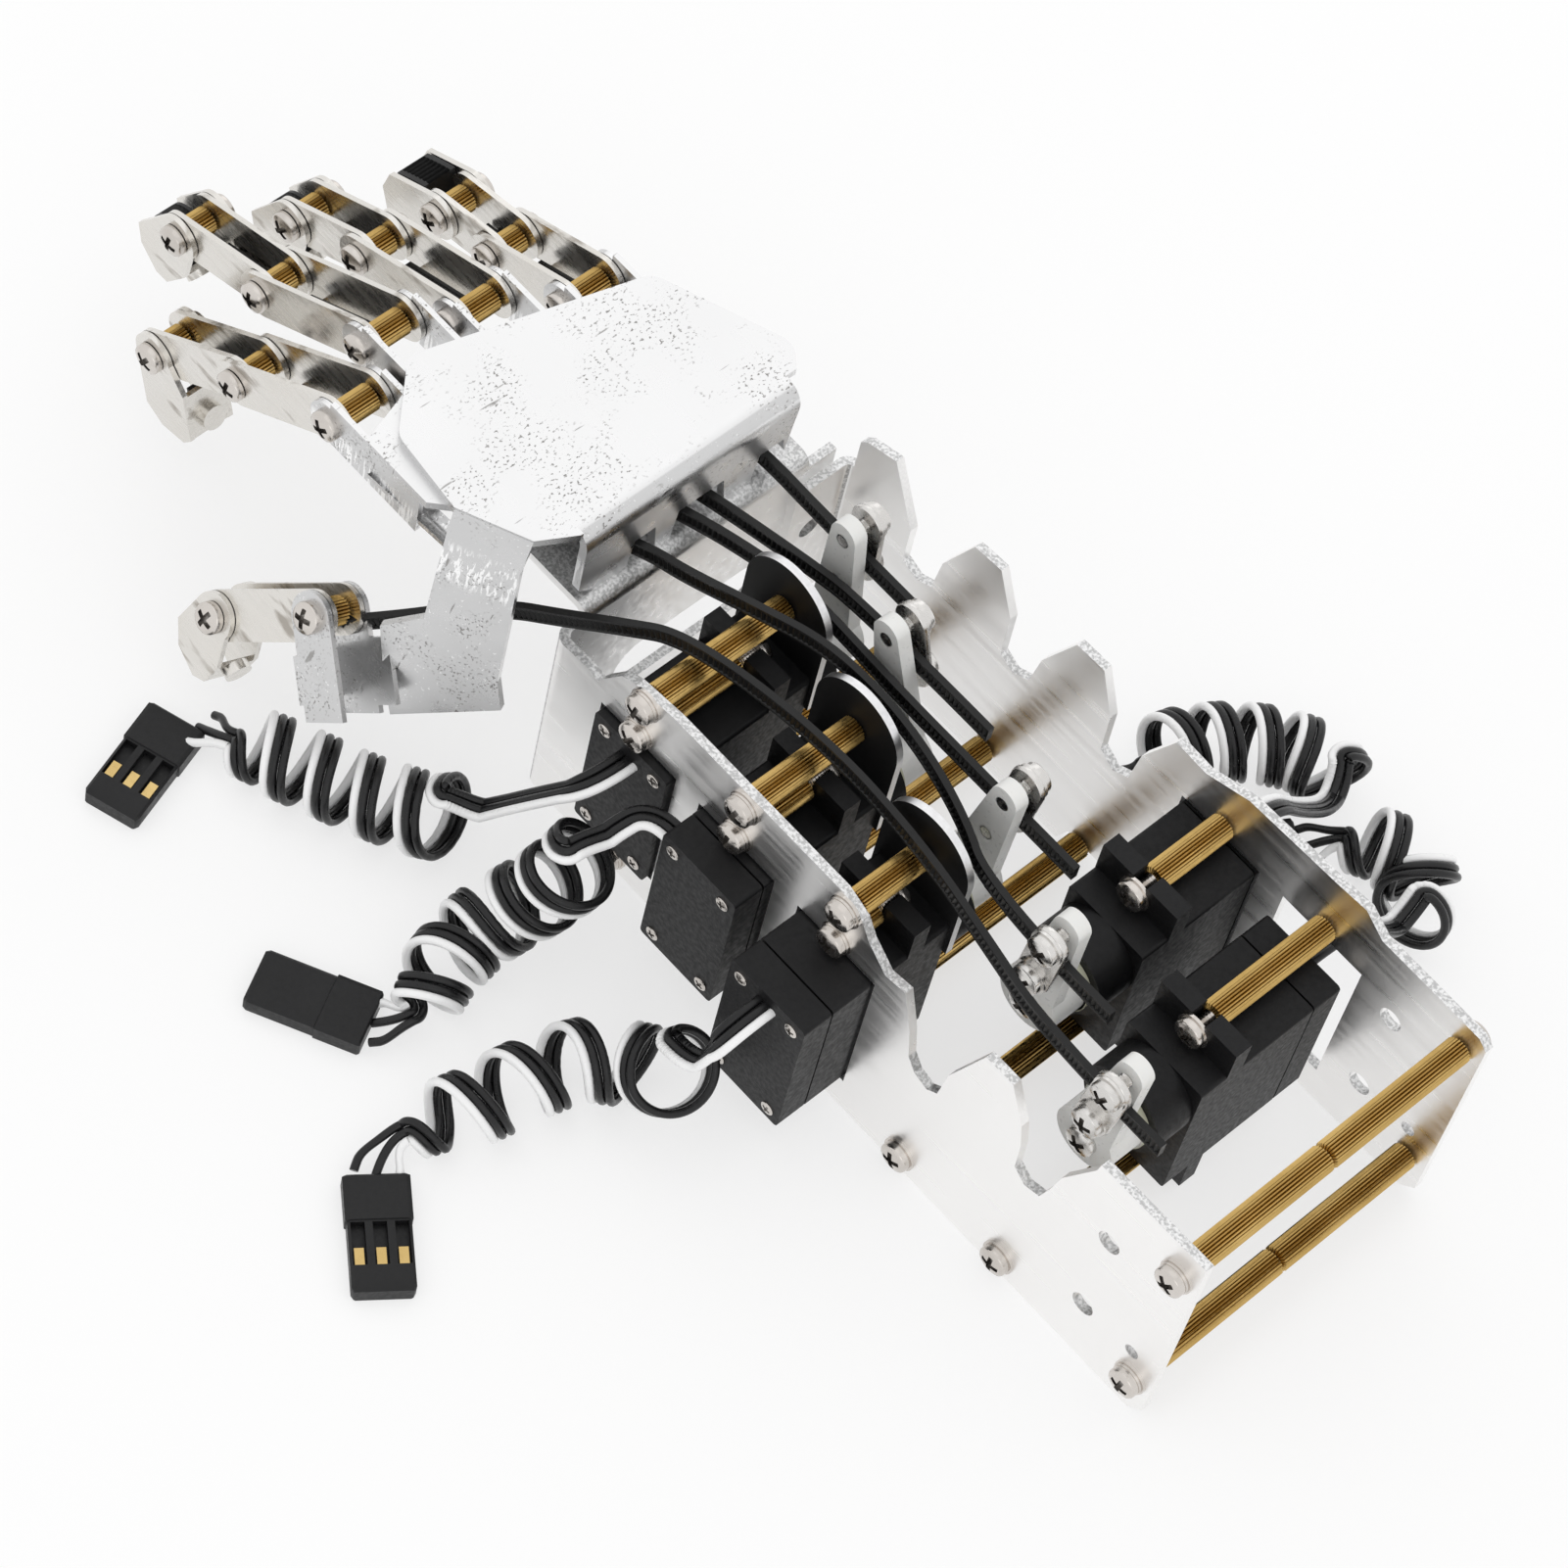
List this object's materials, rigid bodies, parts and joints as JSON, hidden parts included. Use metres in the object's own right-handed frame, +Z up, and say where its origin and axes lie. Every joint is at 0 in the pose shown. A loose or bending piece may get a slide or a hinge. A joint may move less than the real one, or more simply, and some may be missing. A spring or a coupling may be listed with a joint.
{
  "type": "robotic hand",
  "caption": "Servo driven robotic hand: open sheet metal forearm frame, jointed sheet fingers and thumb, horns with toothed pull strips, curly leads",
  "frame": {"origin": "centre of the hardware's bounding box at the level of the plates' lower edges, leads left out", "axes": "+X to the fingertips, +Y to the thumb side, +Z up"},
  "size_m": [0.185, 0.1411, 0.047],
  "materials": {
    "sheet": "brushed sheet",
    "palm": "bright sheet",
    "black_case": "moulded, lightly grained",
    "steel_screw": "plated, bright",
    "strap": "satin",
    "brass": "fluted bar",
    "pin": "fluted spacers and plated screws",
    "horn": "white nylon",
    "clamp": "plated",
    "link": "bent bright sheet",
    "strip": "toothed nylon strip",
    "lead": "curled three wire lead",
    "plug": "moulded"
  },
  "bodies": {
    "frame": {"plate_near": "sheet", "plate_far": "sheet", "palm_sheet": "palm", "finger_mount": "palm", "servo_case_1": "black_case", "servo_case_2": "black_case", "servo_case_3": "black_case", "servo_case_4": "black_case", "servo_case_5": "black_case", "servo_back_covers": "black_case", "servo_cover_screws": "steel_screw", "frame_screws": "steel_screw", "servo_straps": "strap", "servo_standoffs": "brass", "cross_standoffs": "brass", "base_hinge_pins": "pin", "pull_strip_a": "strip", "pull_strip_b": "strip", "pull_strip_c": "strip", "pull_strip_d": "strip", "pull_strip_e": "strip", "servo_lead_1": "lead", "servo_lead_2": "lead", "servo_lead_3": "lead", "servo_lead_4": "lead", "servo_lead_5": "lead", "lead_connectors": "plug"},
    "horn_arm_1": {"horn_1": "horn", "horn_clamp_1": "clamp"},
    "horn_arm_2": {"horn_2": "horn", "horn_clamp_2": "clamp"},
    "horn_arm_3": {"horn_3": "horn", "horn_clamp_3": "clamp"},
    "horn_arm_4": {"horn_4": "horn", "horn_clamp_4": "clamp"},
    "horn_arm_5": {"horn_5": "horn", "horn_clamp_5": "clamp"},
    "finger_a_1": {"finger_a_link_1": "link"},
    "finger_a_2": {"finger_a_link_2": "link", "finger_a_pins": "pin"},
    "finger_a_3": {"finger_a_link_3": "link"},
    "finger_b_1": {"finger_b_link_1": "link"},
    "finger_b_2": {"finger_b_link_2": "link", "finger_b_pins": "pin"},
    "finger_b_3": {"finger_b_link_3": "link"},
    "finger_c_1": {"finger_c_link_1": "link"},
    "finger_c_2": {"finger_c_link_2": "link", "finger_c_pins": "pin"},
    "finger_c_3": {"finger_c_link_3": "link"},
    "finger_d_1": {"finger_d_link_1": "link"},
    "finger_d_2": {"finger_d_link_2": "link", "finger_d_pins": "pin"},
    "finger_d_3": {"finger_d_link_3": "link"},
    "thumb_1": {"thumb_link_1": "link", "thumb_pins": "pin"},
    "thumb_2": {"thumb_link_2": "link"}
  },
  "joints": [
    {"name": "servo_1_turn", "type": "hinge", "parent": "frame", "child": "horn_arm_1", "pos_m": [-0.00134, -0.01444, 0.0226], "axis": [0, -1, 0], "range_deg": [-10, 18]},
    {"name": "servo_2_turn", "type": "hinge", "parent": "frame", "child": "horn_arm_2", "pos_m": [-0.01814, -0.00995, 0.0226], "axis": [0, -1, 0], "range_deg": [-4, 22]},
    {"name": "servo_3_turn", "type": "hinge", "parent": "frame", "child": "horn_arm_3", "pos_m": [-0.03494, -0.00524, 0.0226], "axis": [0, -1, 0], "range_deg": [-14, 14]},
    {"name": "servo_4_turn", "type": "hinge", "parent": "frame", "child": "horn_arm_4", "pos_m": [-0.05174, -0.00904, 0.0226], "axis": [0, -1, 0], "range_deg": [-16, 10]},
    {"name": "servo_5_turn", "type": "hinge", "parent": "frame", "child": "horn_arm_5", "pos_m": [-0.06854, -0.00204, 0.0226], "axis": [0, -1, 0], "range_deg": [-20, 6]},
    {"name": "finger_a_hinge_1", "type": "hinge", "parent": "frame", "child": "finger_a_1", "pos_m": [0.04716, 0.01495, 0.0416], "axis": [0, 1, 0], "range_deg": [-32, 20]},
    {"name": "finger_a_hinge_2", "type": "hinge", "parent": "finger_a_1", "child": "finger_a_2", "pos_m": [0.06366, 0.01495, 0.0294], "axis": [0, 1, 0], "range_deg": [-16, 10]},
    {"name": "finger_a_hinge_3", "type": "hinge", "parent": "finger_a_2", "child": "finger_a_3", "pos_m": [0.07786, 0.01495, 0.0184], "axis": [0, 1, 0], "range_deg": [-16, 10]},
    {"name": "finger_b_hinge_1", "type": "hinge", "parent": "frame", "child": "finger_b_1", "pos_m": [0.05306, 0.00526, 0.0416], "axis": [0, 1, 0], "range_deg": [-25.2, 25.2]},
    {"name": "finger_b_hinge_2", "type": "hinge", "parent": "finger_b_1", "child": "finger_b_2", "pos_m": [0.07116, 0.00526, 0.0305], "axis": [0, 1, 0], "range_deg": [-11.2, 11.2]},
    {"name": "finger_b_hinge_3", "type": "hinge", "parent": "finger_b_2", "child": "finger_b_3", "pos_m": [0.08576, 0.00526, 0.0254], "axis": [0, 1, 0], "range_deg": [-25.2, 25.2]},
    {"name": "finger_c_hinge_1", "type": "hinge", "parent": "frame", "child": "finger_c_1", "pos_m": [0.04926, -0.00525, 0.0417], "axis": [0, 1, 0], "range_deg": [-7.2, 39.6]},
    {"name": "finger_c_hinge_2", "type": "hinge", "parent": "finger_c_1", "child": "finger_c_2", "pos_m": [0.06606, -0.00525, 0.0349], "axis": [0, 1, 0], "range_deg": [-7.2, 39.6]},
    {"name": "finger_c_hinge_3", "type": "hinge", "parent": "finger_c_2", "child": "finger_c_3", "pos_m": [0.07776, -0.00525, 0.0285], "axis": [0, 1, 0], "range_deg": [-6, 33]},
    {"name": "finger_d_hinge_1", "type": "hinge", "parent": "frame", "child": "finger_d_1", "pos_m": [0.04336, -0.01725, 0.0416], "axis": [0, 1, 0], "range_deg": [-18, 32.4]},
    {"name": "finger_d_hinge_2", "type": "hinge", "parent": "finger_d_1", "child": "finger_d_2", "pos_m": [0.05646, -0.01725, 0.0359], "axis": [0, 1, 0], "range_deg": [-8, 14.4]},
    {"name": "finger_d_hinge_3", "type": "hinge", "parent": "finger_d_2", "child": "finger_d_3", "pos_m": [0.06556, -0.01725, 0.0338], "axis": [0, 1, 0], "range_deg": [-18, 32.4]},
    {"name": "thumb_hinge_1", "type": "hinge", "parent": "frame", "child": "thumb_1", "pos_m": [0.03545, 0.02673, 0.02342], "axis": [0.098, 0.9037, 0.4169], "range_deg": [-24, 7.2]},
    {"name": "thumb_hinge_2", "type": "hinge", "parent": "thumb_1", "child": "thumb_2", "pos_m": [0.04723, 0.03067, 0.01211], "axis": [0.098, 0.9037, 0.4169], "range_deg": [-30, 9]}
  ],
  "couplings": [
    {"joint": "finger_a_hinge_1", "follows": "servo_4_turn", "ratio": 2},
    {"joint": "finger_a_hinge_2", "follows": "servo_4_turn", "ratio": 1},
    {"joint": "finger_a_hinge_3", "follows": "servo_4_turn", "ratio": 1},
    {"joint": "finger_b_hinge_1", "follows": "servo_3_turn", "ratio": 1.8},
    {"joint": "finger_b_hinge_2", "follows": "servo_3_turn", "ratio": 0.8},
    {"joint": "finger_b_hinge_3", "follows": "servo_3_turn", "ratio": 1.8},
    {"joint": "finger_c_hinge_1", "follows": "servo_2_turn", "ratio": 1.8},
    {"joint": "finger_c_hinge_2", "follows": "servo_2_turn", "ratio": 1.8},
    {"joint": "finger_c_hinge_3", "follows": "servo_2_turn", "ratio": 1.5},
    {"joint": "finger_d_hinge_1", "follows": "servo_1_turn", "ratio": 1.8},
    {"joint": "finger_d_hinge_2", "follows": "servo_1_turn", "ratio": 0.8},
    {"joint": "finger_d_hinge_3", "follows": "servo_1_turn", "ratio": 1.8},
    {"joint": "thumb_hinge_1", "follows": "servo_5_turn", "ratio": 1.2},
    {"joint": "thumb_hinge_2", "follows": "servo_5_turn", "ratio": 1.5}
  ]
}
